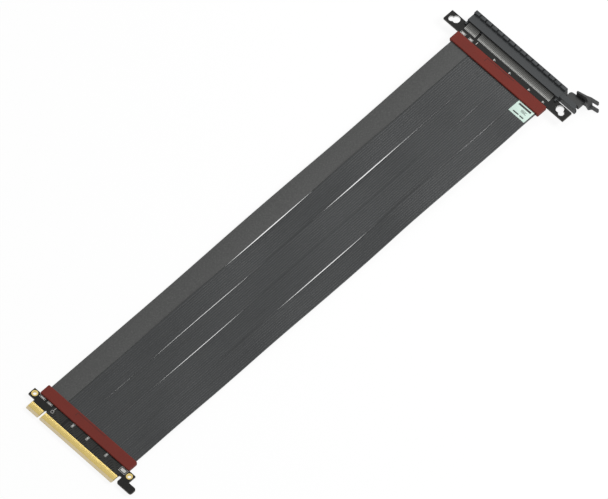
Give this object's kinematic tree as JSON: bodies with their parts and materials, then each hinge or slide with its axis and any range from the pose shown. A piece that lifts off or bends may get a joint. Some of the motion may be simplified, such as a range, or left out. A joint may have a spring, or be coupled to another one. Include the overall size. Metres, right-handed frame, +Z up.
{
  "type": "graphics card riser cable",
  "caption": "Flat ribbon riser: a gold card edge at one end, five flat ribbons, and a card socket with a retention latch at the other end.",
  "frame": {"origin": "on the surface that the cable lies on, below the middle of the box of its two rigid ends", "axes": "+X from the card edge to the socket, +Y across the ribbons towards the notched side, +Z up"},
  "size_m": [0.4524, 0.128, 0.013],
  "materials": {
    "laminate": "black solder mask, semi-gloss",
    "gold_plating": "bright gold plating",
    "strain_relief": "matte dark red moulding",
    "housing": "matte black moulding",
    "contacts": "tin-plated spring strip",
    "latch": "matte black moulding",
    "power_jacket": "smooth matte jacket",
    "signal_jacket": "ribbed matte jacket",
    "label": "matte paper sticker"
  },
  "bodies": {
    "riser": {"male_board": "laminate", "male_strain_relief": "strain_relief", "socket_strain_relief": "strain_relief", "socket_board": "laminate", "socket_housing": "housing", "contact_strip_upper_short": "contacts", "contact_strip_upper_long": "contacts", "contact_strip_lower_short": "contacts", "contact_strip_lower_long": "contacts", "ribbon_power": "power_jacket", "ribbon_signal_1": "signal_jacket", "ribbon_signal_2": "signal_jacket", "ribbon_signal_3": "signal_jacket", "ribbon_signal_4": "signal_jacket", "ribbon_label": "label"},
    "latch": {"retention_latch": "latch"}
  },
  "joints": [
    {"name": "latch_hinge", "type": "hinge", "parent": "riser", "child": "latch", "pos_m": [0.2134, -0.05035, 0.0065], "axis": [0, 0, -1], "range_deg": [0, 22]}
  ]
}
